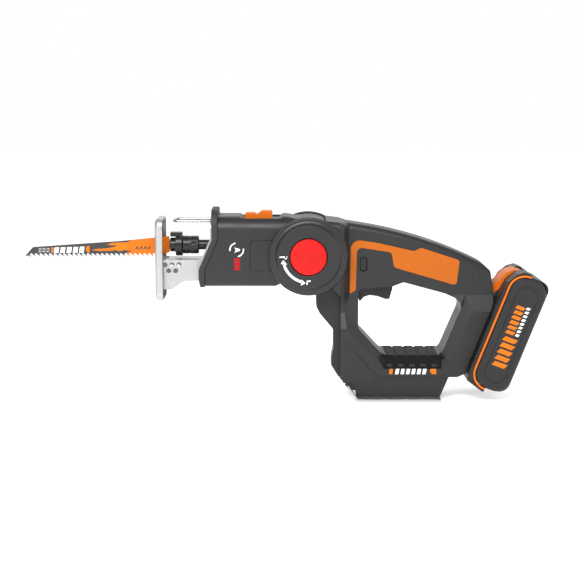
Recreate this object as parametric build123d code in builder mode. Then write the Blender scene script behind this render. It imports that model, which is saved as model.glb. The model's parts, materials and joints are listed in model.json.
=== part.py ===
from build123d import *
import os
from math import acos, atan2, cos, pi, radians, sin, sqrt, tan

# Cordless reciprocating saw whose head swings down 90 degrees to work as a jigsaw.
# Millimetres. +X points from the blade towards the battery, +Y to the tool's right side
# (seen with the blade ahead), +Z up. The origin is the centre of the sole's flat underside.

os.makedirs("parts", exist_ok=True)

# ---- driving dimensions ------------------------------------------------------------------
PIVOT_X, PIVOT_Z = -89.0, 144.0      # transverse axis that the head swings about
AXIS_Z = 152.0                       # plunger and blade clamp axis
DRUM_R = 36.5                        # rear drum of the head, between the cheeks
CHEEK_R = 37.5                       # cheeks of the housing fork
COVER_R = 38.2                       # round pivot covers outside the cheeks
HEAD_HALF = 29.0                     # half width of the head
CHEEK_IN, CHEEK_OUT = 29.4, 33.0     # a cheek's inner and outer faces
COVER_OUT = 40.0                     # outer face of a pivot cover
WALL = 2.8                           # shell thickness of the mouldings
GRIP_HALF = 18.0                     # half width of the hand grip
BAND_HALF = 24.0                     # half width of the lower frame band
BLOCK_HALF = 22.8                    # half width of the sole block
NOSE_HALF = 11.0                     # half width of the fin under the drum
SOLE_HALF, SOLE_T = 35.0, 2.2        # sole plate half width and thickness
SOLE_FRONT, SOLE_REAR = -41.0, 42.0  # flat length of the sole
TRUNNION_R = 21.0                    # head trunnions turning in the cheeks
RUN = 0.05                           # radial running clearance of a shaft
GAP = 0.3                            # clearance between other moving faces
MODULE = 1.0                         # gear module
GEAR_TEETH, PINION_TEETH = 45, 12
THROW = 9.0                          # crank pin radius; the stroke is twice this
BARREL_TOP, BARREL_BOTTOM = 182.3, 113.5
BULGE_Z, BULGE_R = 148.0, 400.0      # the barrel's sides are widest here and slightly curved
SHOE_FACE = -239.6                   # front face of the shoe
SHOE_HALF = 23.0
SHOE_LOW, SHOE_HIGH = 97.7, 179.6
STEEL_T = 1.8                        # pressed steel of the shoe
FLANGE_OUT, FLANGE_IN = 16.0, 14.5   # shoe bracket flanges
PACK_TILT = 68.8                     # slope of the battery pack's long axis, degrees
PACK_X, PACK_Z = 107.3, 66.6         # centre of the pack's side face
PACK_HALF = 38.0

GEAR_CENTRES = MODULE * (GEAR_TEETH + PINION_TEETH) / 2
GEAR_Z = AXIS_Z
GEAR_X = PIVOT_X - sqrt(GEAR_CENTRES**2 - (GEAR_Z - PIVOT_Z) ** 2)
YOKE_X = GEAR_X - THROW              # yoke centre with the plunger fully out

PIVOT = (PIVOT_X, PIVOT_Z)
PACK_UP = Vector(cos(radians(PACK_TILT)), 0, sin(radians(PACK_TILT)))
PACK_OUT = Vector(sin(radians(PACK_TILT)), 0, -cos(radians(PACK_TILT)))
PACK_SIDE = Plane(origin=(PACK_X, 0, PACK_Z), x_dir=PACK_OUT, z_dir=(0, -1, 0))
PACK_ACROSS = Plane(origin=(PACK_X, 0, PACK_Z), x_dir=PACK_OUT, z_dir=PACK_UP)
TURN_PLANE = Plane(origin=(PIVOT_X, 0, PIVOT_Z), x_dir=(1, 0, 0), z_dir=(0, 0, 1))
PIVOT_AXIS = Axis((PIVOT_X, 0, PIVOT_Z), (0, 1, 0))


# ---- helpers used inside a BuildPart block ---------------------------------------------------
def slab(points, y_low, y_high, mode=Mode.ADD, radius=0, base=Plane.XZ):
    """Side outline extruded across the tool from y_low to y_high; radius rounds its corners."""
    with BuildSketch(base.offset(-y_high)) as outline:
        with BuildLine():
            if radius:
                FilletPolyline(*points, radius=radius, close=True)
            else:
                Polyline(*points, close=True)
        make_face()
    extrude(to_extrude=outline.sketch, amount=y_high - y_low, mode=mode)


def rod_y(centre, radius, y_low, y_high, mode=Mode.ADD):
    """Round rod across the tool."""
    with BuildSketch(Plane.XZ.offset(-y_high)) as disc:
        with Locations(centre):
            Circle(radius)
    extrude(to_extrude=disc.sketch, amount=y_high - y_low, mode=mode)


def rod_x(y, z, radius, x_low, x_high, mode=Mode.ADD):
    """Round rod along the tool."""
    with BuildSketch(Plane.YZ.offset(x_low)) as disc:
        with Locations((y, z)):
            Circle(radius)
    extrude(to_extrude=disc.sketch, amount=x_high - x_low, mode=mode)


def rod_z(x, y, radius, z_low, z_high, mode=Mode.ADD):
    """Upright round rod."""
    with BuildSketch(Plane.XY.offset(z_low)) as disc:
        with Locations((x, y)):
            Circle(radius)
    extrude(to_extrude=disc.sketch, amount=z_high - z_low, mode=mode)


def block(low, high, mode=Mode.ADD):
    """Box between two corners."""
    centre = tuple((a + b) / 2 for a, b in zip(low, high))
    with Locations(centre):
        Box(high[0] - low[0], high[1] - low[1], high[2] - low[2], mode=mode)


def turned(points, mode=Mode.ADD):
    """Profile of (radius, y) points turned about the pivot axis."""
    with BuildSketch(TURN_PLANE) as profile:
        with BuildLine():
            Polyline(*points, close=True)
        make_face()
    revolve(profiles=profile.sketch, axis=PIVOT_AXIS, mode=mode)


def lathe_x(points, mode=Mode.ADD):
    """Profile of (x, radius) points turned about the plunger axis."""
    with BuildSketch(Plane.XZ) as profile:
        with BuildLine():
            Polyline(*[(x, AXIS_Z + radius) for x, radius in points], close=True)
        make_face()
    revolve(profiles=profile.sketch, axis=Axis((0, 0, AXIS_Z), (1, 0, 0)), mode=mode)


def coil(start, direction, length, turns, radius, wire):
    """Open coil spring from a start point along a direction."""
    with BuildLine() as path:
        Helix(pitch=length / turns, height=length, radius=radius, center=start,
              direction=direction)
    with BuildSketch(Plane(origin=path.line @ 0, z_dir=path.line % 0)) as section:
        Circle(wire)
    sweep(sections=section.sketch, path=path.line, is_frenet=True)


def barrel_section(half, top, bottom, top_r, bottom_r, x_low, x_high, mode=Mode.ADD):
    """Cross section of the barrel, rounder at the top, extruded along the tool."""
    with BuildSketch(Plane.YZ.offset(x_low)) as section:
        with BuildLine():
            FilletPolyline(
                (-half + 1, bottom), (half - 1, bottom), (half, BULGE_Z), (half - 1.2, top),
                (-half + 1.2, top), (-half, BULGE_Z),
                radius=[bottom_r, bottom_r, BULGE_R, top_r, top_r, BULGE_R], close=True,
            )
        make_face()
    extrude(to_extrude=section.sketch, amount=x_high - x_low, mode=mode)


def groove(points, y_low, y_high, width, radius=0, base=Plane.XZ, mode=Mode.SUBTRACT):
    """Sunk or raised line along a closed side outline."""
    with BuildSketch(base.offset(-y_high)) as line:
        with BuildLine():
            FilletPolyline(*points, radius=radius, close=True)
        make_face()
        offset(amount=-width, mode=Mode.SUBTRACT)
    extrude(to_extrude=line.sketch, amount=y_high - y_low, mode=mode)


def at_pack(out, up):
    """Side-view point of the pack's own frame, in the tool's X and Z."""
    spot = Vector(PACK_X, 0, PACK_Z) + PACK_OUT * out + PACK_UP * up
    return (spot.X, spot.Z)


def save(piece, name):
    piece.part.label = name
    export_step(piece.part, f"parts/{name}.step")


LEFT, RIGHT = Keep.TOP, Keep.BOTTOM   # Plane.XZ faces -Y, the tool's left

# ---- housing: grip frame, columns, sole block, fork ------------------------------------------
GRIP_TOP = [(-72, 178.6), (-44.5, 174.9), (2.3, 165.5), (42.2, 153.0), (82, 135.6)]
REAR_OUT = -23.4                     # housing's rear face, in the pack's frame
FRAME_EDGE = [
    (82, 135.6), (90.3, 128.0), (92.8, 113.3), at_pack(REAR_OUT, 22.6), at_pack(REAR_OUT, -44),
    (67.0, 26.0), (59.0, 22.4), (-13.7, 22.4), (-20.5, 24.4), (-57, 62.8), (-57, 104),
    (-72, 119), (-72, 178.6),
]
HAND_HOLE = [
    (-39.5, 110), (-39.5, 70.2), (-15.9, 45.0), (43.2, 45.0),
    (65.0, 97.0), (45.5, 105.5), (4.9, 116.5), (-6, 112.3),
]
HAND_HOLE_RADII = [5, 9, 8, 7, 11, 16, 3, 3]
SOLE_BLOCK = [
    (-57, 62.8), (-57, 24), (-52.6, 17), (-50.3, 13.8), (-38.6, SOLE_T), (SOLE_REAR, SOLE_T),
    (51.0, 23.4), (-13, 24), (-20, 26),
]
NOSE = [
    (-50, 112), (-81.4, 106.2), (-80.8, 91.2), (-77.3, 84.2), (-63.9, 68.2), (-63.9, 49.1),
    (-65.8, 39.0), (-65.8, 31.9), (-59.8, 22.2), (-54.6, 15.8), (-50.0, 13.8), (-48, 30),
]
SCREWS = [(-49, 88), (-49, 44), (44, 30), (59.7, 61.5), (82, 106), (76, 130), (-51, 166)]
SCREW_R, SCREW_HEAD_R, BOSS_R = 1.6, 3.1, 4.2
INLAY = [
    (-48.2, 104.7), (-47.2, 159.6), (-18.6, 155.2), (14.9, 147.5), (21.7, 150.9), (60.0, 138.4),
    (57.0, 113.4), (-4.6, 131.4), (-7.2, 146.2), (-41.2, 151.4), (-42.1, 109.2),
]
INLAY_RADII = [1, 9, 40, 1.5, 2, 3, 3, 4, 4, 5, 1]
INLAY_PROUD, INLAY_DEEP = 0.7, 1.1
FACETS = [                           # start, direction, way into the column, length, reach, width
    ((41.5, 41.0), (0.387, 0, 0.922), (0.922, 0, -0.387), 66, 2, 10.5),
    ((-54.6, 86.0), (0.6864, 0, -0.7272), (-0.7272, 0, -0.6864), 67.2, 14, 7.5),
]
LOCK_X, LOCK_Z = -34.6, 134.5
TRIGGER_WELL = [(-38.9, 85), (-38.9, 123.5), (-3.5, 123.5), (-3.5, 85)]
TRIGGER_PIVOT = (-34.0, 119.0)
SOLE_SCREWS = [(-30, -16), (-30, 16), (34, -16), (34, 16)]
PAD_X, PAD_END_X, PAD_LOW, PAD_TOP = -14.5, 43.0, 31.0, 45.0
RIB_PITCH = 11.0

with BuildPart() as frame_ring:
    with BuildSketch(Plane.XZ.offset(-CHEEK_OUT)) as ring_side:
        with BuildLine():
            Spline(*GRIP_TOP)
            Polyline(*FRAME_EDGE)
        make_face()
        with BuildLine():
            FilletPolyline(*HAND_HOLE, radius=HAND_HOLE_RADII, close=True)
        make_face(mode=Mode.SUBTRACT)
    extrude(amount=2 * CHEEK_OUT)


def ring_widths(points, x_low, x_high):
    """Half widths at heights, as (half, z) points, extruded along the tool."""
    outline = [(half, z) for half, z in points]
    outline += [(-half, z) for half, z in reversed(points)]
    with BuildSketch(Plane.YZ.offset(x_low)) as section:
        with BuildLine():
            Polyline(*outline, close=True)
        make_face()
    extrude(to_extrude=section.sketch, amount=x_high - x_low)


FRONT_WIDTHS = [(BAND_HALF, 0), (BAND_HALF, 71), (GRIP_HALF, 86), (GRIP_HALF, 200)]
REAR_WIDTHS = [(BAND_HALF, 0), (BAND_HALF, 88), (GRIP_HALF, 104), (GRIP_HALF, 200)]
NECK_PLAN = [(-90, CHEEK_OUT), (-58, CHEEK_OUT), (-54, 29), (-50.5, 21), (-49, GRIP_HALF)]

with BuildPart() as grip_limits:
    ring_widths(FRONT_WIDTHS, -100, 20)
    ring_widths(REAR_WIDTHS, 20, 120)

with BuildPart() as neck:
    with BuildSketch(Plane.XY.offset(99)):
        with BuildLine():
            Polyline(*NECK_PLAN, *[(x, -y) for x, y in reversed(NECK_PLAN)], close=True)
        make_face()
    extrude(amount=120)
    add(frame_ring.part, mode=Mode.INTERSECT)
    fillet(neck.edges().filter_by(GeomType.BSPLINE), radius=6)

with BuildPart() as pad_blank:
    slab([(PAD_X, PAD_LOW), (PAD_END_X, PAD_LOW), (PAD_END_X, PAD_TOP), (PAD_X, PAD_TOP)],
         -BAND_HALF - 0.5, BAND_HALF + 0.5)
    block((-50, -22.4, 0), (80, 22.4, 41.5), Mode.SUBTRACT)
    for i in range(5):
        rib_x = PAD_X + 6.3 + RIB_PITCH * i
        slab([(rib_x - 3.2, 33.0), (rib_x + 3.2, 33.0), (rib_x + 2.4, 36.0), (rib_x - 2.4, 36.0)],
             -40, 40, Mode.SUBTRACT)

with BuildPart() as lower_grip_pad:
    add(pad_blank.part)
    for i in range(6):
        rod_y((PAD_X + 0.8 + RIB_PITCH * i, PAD_TOP + 0.7), 1.7, -40, 40, Mode.SUBTRACT)
save(lower_grip_pad, "lower_grip_pad")

# spaces inside the mouldings: grip, rear column, front column, sole block with the band
GRIP_POCKET = [
    (-47, 171), (2.3, 161.8), (42.2, 149.4), (80.5, 132.4), (87, 126), (88, 113), (83, 103),
    (68.5, 100.5), (46.5, 109.8), (5, 121), (-47, 121),
]
REAR_POCKET = [at_pack(-48, 26), at_pack(-37, 18), at_pack(-37, -42), at_pack(-48, -40)]
FRONT_POCKET = [
    (-54, 124), (-42.3, 124), (-42.3, 69.2), (-17.5, 42.2), (-17.5, 38), (-50, 38), (-54, 50),
]
BLOCK_POCKET = [
    (-50, 48), (-50, 26), (-44, 15), (-36, 6.5), (37, 6.5), (45, 24), (55, 26), (50, 38), (-20, 38),
]
POCKETS = [
    (GRIP_POCKET, GRIP_HALF - WALL), (REAR_POCKET, GRIP_HALF - WALL),
    (FRONT_POCKET, GRIP_HALF - WALL), (BLOCK_POCKET, BLOCK_HALF - 3.3),
]

# slide-on dock for the battery pack, drawn across the pack's own axis
DOCK_FLOOR, DOCK_LOW, DOCK_HIGH = -34.0, -48.0, 22.0


def along_pack(out_low, out_high, half_low, half_high, up_low, up_high, mode=Mode.ADD):
    """Box in the pack's frame, on both sides of the centre plane when half_low is above zero."""
    middle_out, width = (out_low + out_high) / 2, out_high - out_low
    if half_low > 0:
        spots = [(middle_out, (half_low + half_high) / 2), (middle_out, -(half_low + half_high) / 2)]
        across = half_high - half_low
    else:
        spots, across = [(middle_out, 0)], 2 * half_high
    with BuildSketch(PACK_ACROSS.offset(up_low)) as section:
        with Locations(*spots):
            Rectangle(width, across)
    extrude(to_extrude=section.sketch, amount=up_high - up_low, mode=mode)


CONTACT_Y = [-6.0, 6.0]

with BuildPart() as battery_rail:
    along_pack(DOCK_FLOOR, -32, 0, 17, DOCK_LOW, DOCK_HIGH)
    along_pack(-32, -26.3, 15, 17, DOCK_LOW, DOCK_HIGH)
    along_pack(-26.3, -23.5, 11.5, 17, DOCK_LOW, DOCK_HIGH)
    for contact_y in CONTACT_Y:
        with Locations(PACK_ACROSS.offset(-40).location * Pos(-33, contact_y, 0)):
            Box(4, 1.0, 12, mode=Mode.SUBTRACT)
save(battery_rail, "battery_rail")

with BuildPart() as rail_contacts:
    for contact_y in CONTACT_Y:
        with Locations(PACK_ACROSS.offset(-40).location * Pos(-31.2, contact_y, 0)):
            Box(5.6, 1.0, 12)
save(rail_contacts, "rail_contacts")

# sloping facets along the hand opening, fading out where the columns narrow
with BuildPart() as facets:
    for turn in [1, -1]:
        for start, direction, inward, length, reach, width in FACETS:
            facet_plane = Plane(origin=(start[0], 0, start[1]), x_dir=inward, z_dir=direction)
            with BuildSketch(facet_plane) as facet:
                with BuildLine():
                    Polyline(
                        (-reach, turn * GRIP_HALF), (-1.2, turn * GRIP_HALF),
                        (width, turn * BAND_HALF), (width, turn * 32), (-reach, turn * 32),
                        close=True,
                    )
                make_face()
            extrude(to_extrude=facet.sketch, amount=length)
    block((PAD_X, -40, 20), (PAD_X + 20, 40, 60), Mode.SUBTRACT)

with BuildPart() as housing:
    add(frame_ring.part)
    add(grip_limits.part, mode=Mode.INTERSECT)
    fillet(housing.edges().filter_by(GeomType.BSPLINE), radius=7)
    add(neck.part)
    rod_y(PIVOT, CHEEK_R, -CHEEK_OUT, CHEEK_OUT)
    rod_y(PIVOT, DRUM_R + 1.5, -CHEEK_IN, CHEEK_IN, Mode.SUBTRACT)
    block((-140, -CHEEK_IN, 90), (-57.5, CHEEK_IN, PIVOT_Z), Mode.SUBTRACT)
    slab(SOLE_BLOCK, -BLOCK_HALF, BLOCK_HALF)
    slab(NOSE, -NOSE_HALF, NOSE_HALF)
    for rib in range(3):
        rod_y((-55.5 + 2.5 * rib, 21.2 - 3.4 * rib), 1.7, -BLOCK_HALF, BLOCK_HALF)
    rod_y(PIVOT, DRUM_R + 1.5, -CHEEK_IN, CHEEK_IN, Mode.SUBTRACT)
    rod_y(PIVOT, TRUNNION_R + RUN, -CHEEK_OUT, CHEEK_OUT, Mode.SUBTRACT)
    # clearance for the shoe when the head points down
    block((-90, -SHOE_HALF - 1, 0), (-41.5, SHOE_HALF + 1, 9), Mode.SUBTRACT)
    along_pack(DOCK_FLOOR, -20, 0, 17.05, DOCK_LOW, 24, Mode.SUBTRACT)
    along_pack(-31.6, -20, 0, 17.05, 24, 60, Mode.SUBTRACT)
    add(pad_blank.part, mode=Mode.SUBTRACT)
    slab(TRIGGER_WELL, -8.4, 8.4, Mode.SUBTRACT)
    rod_y(TRIGGER_PIVOT, 1.5, -11.2, 11.2, Mode.SUBTRACT)
    for screw_x, screw_y in SOLE_SCREWS:
        rod_z(screw_x, screw_y, 1.5, 0, 6.5, Mode.SUBTRACT)
    with BuildSketch(Plane.XZ.offset(-50)) as lock_hole:
        with Locations((LOCK_X, LOCK_Z)):
            SlotOverall(14.6, 7.6, rotation=90)
    extrude(to_extrude=lock_hole.sketch, amount=100, mode=Mode.SUBTRACT)
    add(facets.part, mode=Mode.SUBTRACT)

with BuildPart() as left_grip_inlay:
    slab(INLAY, -GRIP_HALF - INLAY_PROUD, -GRIP_HALF + INLAY_DEEP, radius=INLAY_RADII)
save(left_grip_inlay, "left_grip_inlay")

with BuildPart() as right_grip_inlay:
    slab(INLAY, GRIP_HALF - INLAY_DEEP, GRIP_HALF + INLAY_PROUD, radius=INLAY_RADII)
save(right_grip_inlay, "right_grip_inlay")


def finish_half(sign):
    """Hollow one half of the housing and give it screw bosses; sign is -1 left, 1 right."""
    for outline, depth in POCKETS:
        slab(outline, min(sign * depth, -sign), max(sign * depth, -sign), Mode.SUBTRACT)
    for spot in SCREWS:
        reach = sign * (BLOCK_HALF - 2.3 if spot[1] < 40 else GRIP_HALF - 1.5)
        rod_y(spot, BOSS_R, min(0, reach), max(0, reach))
        rod_y(spot, SCREW_R, -11, 14, Mode.SUBTRACT)
        rod_y(spot, SCREW_HEAD_R, 12, 50, Mode.SUBTRACT)


with BuildPart() as left_housing:
    add(housing.part)
    split(bisect_by=Plane.XZ, keep=LEFT)
    finish_half(-1)
    add(left_grip_inlay.part, mode=Mode.SUBTRACT)
save(left_housing, "left_housing")

with BuildPart() as right_housing:
    add(housing.part)
    split(bisect_by=Plane.XZ, keep=RIGHT)
    finish_half(1)
    add(right_grip_inlay.part, mode=Mode.SUBTRACT)
save(right_housing, "right_housing")

# ---- fixings and small parts of the body -------------------------------------------------------
with BuildPart() as housing_screws:
    for spot in SCREWS:
        rod_y(spot, SCREW_R - 0.1, -10.5, 12)
        rod_y(spot, SCREW_HEAD_R - 0.1, 12, 14.6)
        rod_y(spot, 1.2, 12.8, 14.6, Mode.SUBTRACT)
save(housing_screws, "housing_screws")

SOLE_SIDE = [
    (SOLE_FRONT, 0), (SOLE_REAR, 0), (SOLE_REAR, SOLE_T), (-40.0, SOLE_T), (-46.4, 11.0),
    (-49.3, 15.5), (-51.0, 14.4), (-48.0, 9.9),
]
with BuildPart() as sole_plate:
    slab(SOLE_SIDE, -SOLE_HALF, SOLE_HALF)
    fillet(sole_plate.edges().filter_by(Axis.Z), radius=1.0)
    block((-60, -24.5, -1), (-41.2, 24.5, 20), Mode.SUBTRACT)
    for screw_x, screw_y in SOLE_SCREWS:
        rod_z(screw_x, screw_y, 1.7, 0, SOLE_T, Mode.SUBTRACT)
        rod_z(screw_x, screw_y, 3.2, 0, 1.2, Mode.SUBTRACT)
save(sole_plate, "sole_plate")

with BuildPart() as sole_screws:
    for screw_x, screw_y in SOLE_SCREWS:
        rod_z(screw_x, screw_y, 3.1, 0.15, 1.2)
        rod_z(screw_x, screw_y, 1.5, 1.2, 6.4)
        block((screw_x - 2, screw_y - 0.4, 0.15), (screw_x + 2, screw_y + 0.4, 0.7), Mode.SUBTRACT)
save(sole_screws, "sole_screws")

# round cover of the pivot: broad cove at the rim, flat face ring
COVER_PROFILE = [
    (18.2, CHEEK_OUT), (18.2, 39.4), (18.8, COVER_OUT), (30.0, COVER_OUT), (30.8, 39.4),
    (31.6, 37.9), (32.9, 36.7), (34.6, 36.0), (36.6, 35.9), (37.6, 35.6), (COVER_R, 34.8),
    (COVER_R, CHEEK_OUT),
]
with BuildPart() as left_pivot_cover:
    turned([(radius, -y) for radius, y in COVER_PROFILE])
save(left_pivot_cover, "left_pivot_cover")

with BuildPart() as right_pivot_cover:
    turned(COVER_PROFILE)
save(right_pivot_cover, "right_pivot_cover")

TRIGGER_SIDE = [
    (-38.4, 94.9), (-33.6, 100.4), (-28.0, 102.2), (-20.0, 101.2), (-12.6, 98.4), (-8.2, 98.4),
    (-5.1, 109.3), (-6.3, 118.0), (-30.0, 118.0), (-31.0, 122.0), (-37.4, 122.0), (-38.5, 110.0),
]
with BuildPart() as trigger:
    slab(TRIGGER_SIDE, -8, 8, radius=1.0)
    rod_y(TRIGGER_PIVOT, 1.5 + RUN, -8, 8, Mode.SUBTRACT)
save(trigger, "trigger")

with BuildPart() as trigger_pin:
    rod_y(TRIGGER_PIVOT, 1.5, -11, 11)
save(trigger_pin, "trigger_pin")

with BuildPart() as trigger_spring:
    coil((-14, 0, 118.4), (0, 0, 1), 5.2, 3, 2.6, 0.35)
save(trigger_spring, "trigger_spring")

with BuildPart() as lock_off_button:
    with BuildSketch(Plane.XZ.offset(-17.4)) as lock_side:
        with Locations((LOCK_X, LOCK_Z)):
            SlotOverall(14, 7, rotation=90)
    extrude(to_extrude=lock_side.sketch, amount=34.8)
    chamfer(lock_off_button.edges().filter_by(lambda e: abs(abs(e.center().Y) - 17.4) < 0.1),
            length=0.6)
save(lock_off_button, "lock_off_button")

with BuildPart() as switch_body:
    block((-25, -9, 124), (2, 9, 146))
    block((-22, -9.6, 128), (-1, 9.6, 142))
    block((2, -5.5, 126), (5, 5.5, 134))
save(switch_body, "switch_body")

with BuildPart() as controller_board:
    block((8, -9, 122), (36, -7.4, 134))
    block((12, -7.4, 124), (20, -3.5, 132))
    rod_y((28, 128), 3.2, -7.4, -1.5)
save(controller_board, "controller_board")

LEAD_PATH = [(64.8, 74.5), (73.7, 99.0), (76.0, 112.0), (68.0, 124.0), (36.0, 138.0), (2.2, 138.0)]
with BuildPart() as power_leads:
    for lead_y in [-4.0, 4.0]:
        with BuildLine(Plane.XZ.offset(-lead_y)) as lead:
            FilletPolyline(*LEAD_PATH, radius=5)
        with BuildSketch(Plane(origin=lead.line @ 0, z_dir=lead.line % 0)) as lead_end:
            Circle(1.2)
        sweep(sections=lead_end.sketch, path=lead.line)
save(power_leads, "power_leads")

# ---- swinging head --------------------------------------------------------------------------------
NECK_SLOT = [(-8, -45), (-8, -28), (-29, -5), (-57.6, -5), (-64.9, -8.6), (-79.6, -22),
             (-110, -20.2), (-130, -20.2), (-130, -45)]
FIN_SLOT = [(-10, -45), (-10, -30), (-30, -6.5), (-57, -6.5), (-64, -10), (-79, -23.5),
            (-110, -21.7), (-130, -21.7), (-130, -45)]
FIN_SLOT_HALF = 12.5


def at_head(points):
    """Points measured from the pivot, in the tool's X and Z."""
    return [(PIVOT_X + along, PIVOT_Z + up) for along, up in points]


CAVITY_SIDE = [
    (-210, 190), (-210, 110), (-122.5, 110), (-118, 119.5), (-100, 132), (-89, PIVOT_Z),
    (-89, 177), (-103, 177), (-113, 190),
]
HEAD_SIDE = [
    (-177.8, 190), (-177.8, 159.9), (-190.7, 130.5), (-190.7, 110), (-121.5, 110),
    (-121.5, BARREL_BOTTOM), (-115.3, 117.3), (-100, 130), (-89, PIVOT_Z), (-89, 180),
    (-102, 179.9), (-112, 182.4), (-112, 190),
]
HEAD_SCREWS = [(-158, 137), (-158, 163), (-136, 137)]

with BuildPart() as head_cavity:
    barrel_section(26.2, 179.5, 116.3, 11.2, 3.2, -210, -89)
    slab(CAVITY_SIDE, -26.2, 26.2, Mode.INTERSECT)
    slab(at_head(NECK_SLOT), -14, 14, Mode.SUBTRACT)
    block((-162, -24, 175.9), (-108, 24, 190), Mode.SUBTRACT)
    rod_y(PIVOT, 33.7, -26.2, 26.2)

with BuildPart() as head_whole:
    barrel_section(HEAD_HALF, BARREL_TOP, BARREL_BOTTOM, 14, 6, -200, -89)
    slab(HEAD_SIDE, -HEAD_HALF, HEAD_HALF, Mode.INTERSECT)
    slab(at_head(FIN_SLOT), -FIN_SLOT_HALF, FIN_SLOT_HALF, Mode.SUBTRACT)
    rod_y(PIVOT, DRUM_R, -HEAD_HALF, HEAD_HALF)
    rod_y(PIVOT, TRUNNION_R, -CHEEK_OUT, CHEEK_OUT)
    add(head_cavity.part, mode=Mode.SUBTRACT)
    slab([(-159.5, 184.5), (-152.4, 178.3), (-118.4, 178.3), (-110.5, 184.5)], -22, 22,
         Mode.SUBTRACT)
    block((-143.4, -3, 170), (-131.6, 3, 182), Mode.SUBTRACT)
    rod_y(PIVOT, 18.4, -CHEEK_OUT, -HEAD_HALF, Mode.SUBTRACT)
    rod_y(PIVOT, 18.4, HEAD_HALF, CHEEK_OUT, Mode.SUBTRACT)
    rod_y(PIVOT, 6.1, -CHEEK_OUT, -20, Mode.SUBTRACT)

# shallow outline of the side panel, running under the pivot cover
SIDE_PANEL = [(-146.1, 129.0), (-100.0, 129.0), (-100.0, 159.1), (-146.1, 159.1)]

with BuildPart() as head_left_shell:
    add(head_whole.part)
    split(bisect_by=Plane.XZ, keep=LEFT)
    groove(SIDE_PANEL, -30, -HEAD_HALF + 1, 0.45, radius=3.5)
save(head_left_shell, "head_left_shell")

with BuildPart() as head_right_shell:
    add(head_whole.part)
    split(bisect_by=Plane.XZ, keep=RIGHT)
    groove(SIDE_PANEL, HEAD_HALF - 1, 30, 0.45, radius=3.5)
    for spot in HEAD_SCREWS:
        rod_y(spot, 3.1, 27.4, 40, Mode.SUBTRACT)
        rod_y(spot, 1.6, 20, 40, Mode.SUBTRACT)
save(head_right_shell, "head_right_shell")

with BuildPart() as head_screws:
    for spot in HEAD_SCREWS:
        rod_y(spot, 3.0, 27.4, 28.9)
        rod_y(spot, 1.5, 24.6, 27.4)
        rod_y(spot, 1.2, 28.0, 28.9, Mode.SUBTRACT)
save(head_screws, "head_screws")

COLLAR_SIDE = [
    (-183.9, 190), (-183.2, 159.9), (-196.1, 130.5), (-196.2, 120.7), (-194.6, 111),
    (-190.7, 111), (-190.7, 130.5), (-177.8, 159.9), (-177.8, 190),
]
with BuildPart() as head_collar:
    barrel_section(31, 188.8, 112.3, 17, 7, -200, -170)
    slab(COLLAR_SIDE, -31, 31, Mode.INTERSECT)
    barrel_section(26.2, 179.5, 116.3, 11.2, 3.2, -205, -170, Mode.SUBTRACT)
    slab(at_head(FIN_SLOT), -FIN_SLOT_HALF, FIN_SLOT_HALF, Mode.SUBTRACT)
save(head_collar, "head_collar")

LINER_SIDE = [
    (-185.4, 178.6), (-185.2, 159.9), (-197.8, 131.3), (-197.8, 124.5), (-186, 124.5),
    (-172, 160), (-172, 178.6),
]
with BuildPart() as front_liner:
    barrel_section(26.1, 179.4, 116.4, 11.1, 3.1, -200, -170)
    barrel_section(24.9, 178.2, 100, 9.9, 3, -201, -169, Mode.SUBTRACT)
    slab(LINER_SIDE, -30, 30, Mode.INTERSECT)
save(front_liner, "front_liner")

GUARD_HALF, GUARD_Z = 12.0, 176.6
with BuildPart() as head_front_plate:
    barrel_section(26.1, 179.4, 116.4, 11.1, 3.1, -171.5, -168.5)
    block((-175, -30, 100), (-165, 30, 141), Mode.SUBTRACT)
    rod_x(0, AXIS_Z, 8.3, -172, -168, Mode.SUBTRACT)
    for guard_y in [-GUARD_HALF, GUARD_HALF]:
        rod_x(guard_y, GUARD_Z, 1.3, -172, -168, Mode.SUBTRACT)
save(head_front_plate, "head_front_plate")

GUARD_PATH = [(-168.6, -GUARD_HALF), (-221.3, -GUARD_HALF), (-221.3, GUARD_HALF), (-168.6, GUARD_HALF)]
with BuildPart() as wire_guard:
    with BuildLine(Plane.XY.offset(GUARD_Z)) as guard_line:
        FilletPolyline(*GUARD_PATH, radius=5)
    with BuildSketch(Plane(origin=guard_line.line @ 0, z_dir=guard_line.line % 0)) as guard_end:
        Circle(1.3)
    sweep(sections=guard_end.sketch, path=guard_line.line)
save(wire_guard, "wire_guard")

# cast frame that carries the plunger bushes, the crank and the motor shaft
GEAR = (GEAR_X, GEAR_Z)
with BuildPart() as gearbox_frame:
    block((-166, -24, 141), (-160, 24.5, 172))
    block((-150, -20, 141), (-144, 24.5, 172))
    block((-166, 21, 132), (-95, 24.5, 168))
    block((-166, -24, 141), (-144, -21, 168))
    rod_x(0, AXIS_Z, 8, -170, -140, Mode.SUBTRACT)
    rod_y(GEAR, 8, 20, 26, Mode.SUBTRACT)
    rod_y(PIVOT, 8.5, 20, 26, Mode.SUBTRACT)
save(gearbox_frame, "gearbox_frame")

PLUNGER_R = 5.0
with BuildPart() as plunger_bushes:
    for bush_low, bush_high in [(-168.0, -159.0), (-152.0, -143.5)]:
        rod_x(0, AXIS_Z, 8, bush_low, bush_high)
        rod_x(0, AXIS_Z, PLUNGER_R + 0.04, bush_low, bush_high, Mode.SUBTRACT)
save(plunger_bushes, "plunger_bushes")

with BuildPart() as motor_cradle:
    for ring_low, ring_high in [(-14.0, -11.0), (-3.0, 0.0)]:
        rod_y(PIVOT, 33.7, ring_low, ring_high)
        rod_y(PIVOT, 18.5, ring_low, ring_high, Mode.SUBTRACT)
    block((-130, -30, 100), (-100, 30, 190), Mode.SUBTRACT)
save(motor_cradle, "motor_cradle")

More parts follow.
